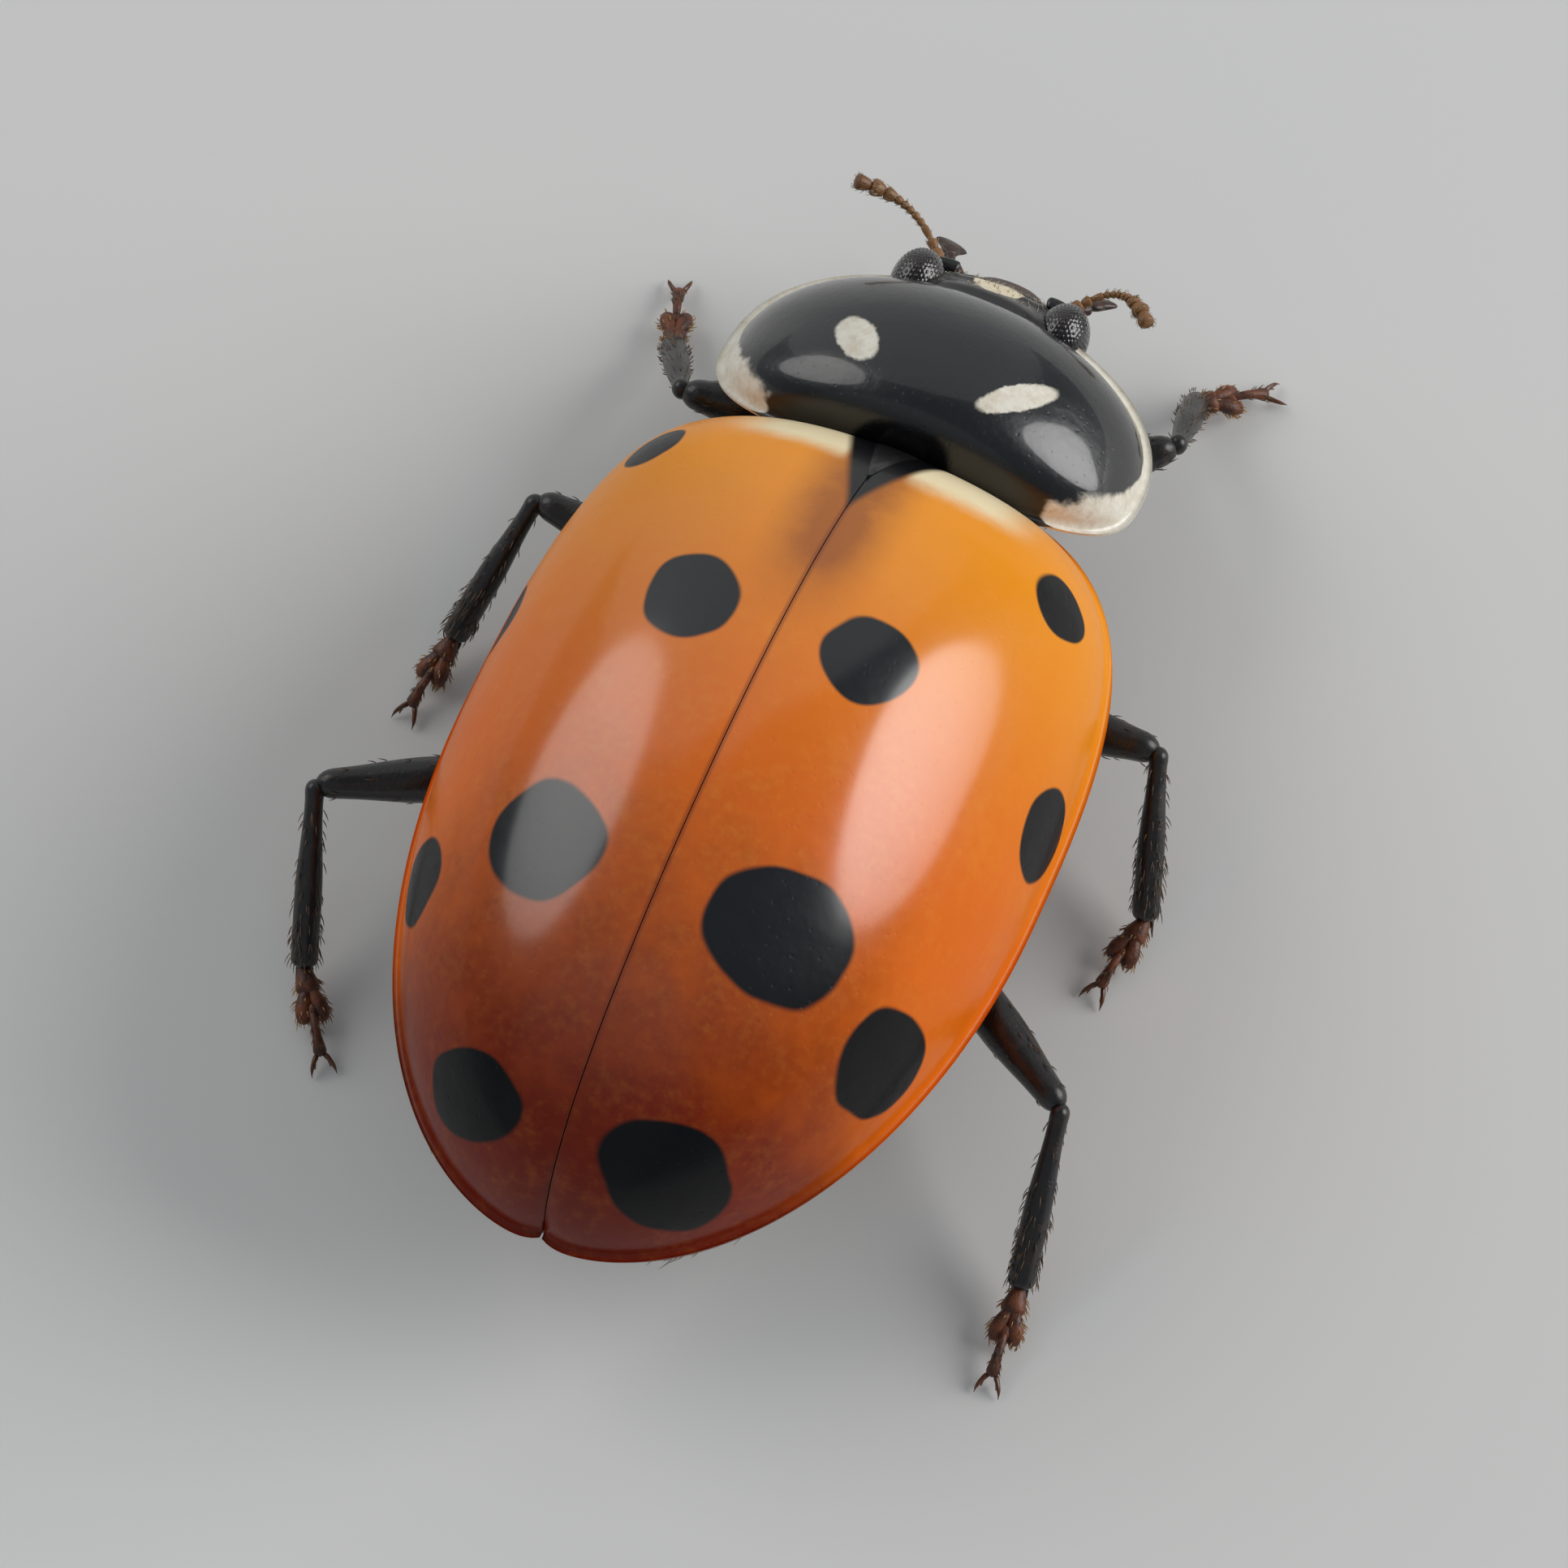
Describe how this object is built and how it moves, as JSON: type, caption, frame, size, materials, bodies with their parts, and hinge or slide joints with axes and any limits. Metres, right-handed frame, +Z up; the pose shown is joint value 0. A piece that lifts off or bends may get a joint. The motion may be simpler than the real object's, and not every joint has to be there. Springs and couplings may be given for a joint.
{
  "type": "ladybird",
  "caption": "Still, life-size convergent ladybird standing on its feet: domed orange wing cases with black spots, white-edged black pronotum, head, feelers and jointed legs.",
  "frame": {"origin": "on the ground, in the animal's middle plane, half way between its foremost and rearmost points", "axes": "+Z up, +Y towards the tail, so the head points along -Y; +X towards the animal's left side"},
  "size_m": [0.0053, 0.0072, 0.0026],
  "materials": {
    "wing_case": "glossy orange shell with black spots, a whitish strip along its base and a smooth clear surface",
    "scutellum": "glossy black",
    "pronotum": "glossy black with a white edge and two short white dashes",
    "underside": "finely pitted satin black",
    "head": "glossy black with a pale mark on the face",
    "mouthparts": "satin dark brown",
    "eye": "glossy black with fine facets",
    "feeler": "satin yellow-brown, darker at the tip",
    "leg": "glossy black with short pale bristles",
    "foot": "satin reddish brown with short pale bristles"
  },
  "bodies": {
    "root": {"elytron_left": "wing_case", "elytron_right": "wing_case", "scutellum": "scutellum", "pronotum": "pronotum", "prothorax": "underside", "thorax": "underside", "abdomen": "underside", "head": "head", "mouthparts": "mouthparts", "eye_left": "eye", "eye_right": "eye", "antenna_left": "feeler", "antenna_right": "feeler", "palp_left": "feeler", "palp_right": "feeler", "femur_front_left": "leg", "tibia_front_left": "leg", "tarsus_front_left": "foot", "femur_middle_left": "leg", "tibia_middle_left": "leg", "tarsus_middle_left": "foot", "femur_hind_left": "leg", "tibia_hind_left": "leg", "tarsus_hind_left": "foot", "femur_front_right": "leg", "tibia_front_right": "leg", "tarsus_front_right": "foot", "femur_middle_right": "leg", "tibia_middle_right": "leg", "tarsus_middle_right": "foot", "femur_hind_right": "leg", "tibia_hind_right": "leg", "tarsus_hind_right": "foot"}
  },
  "joints": []
}
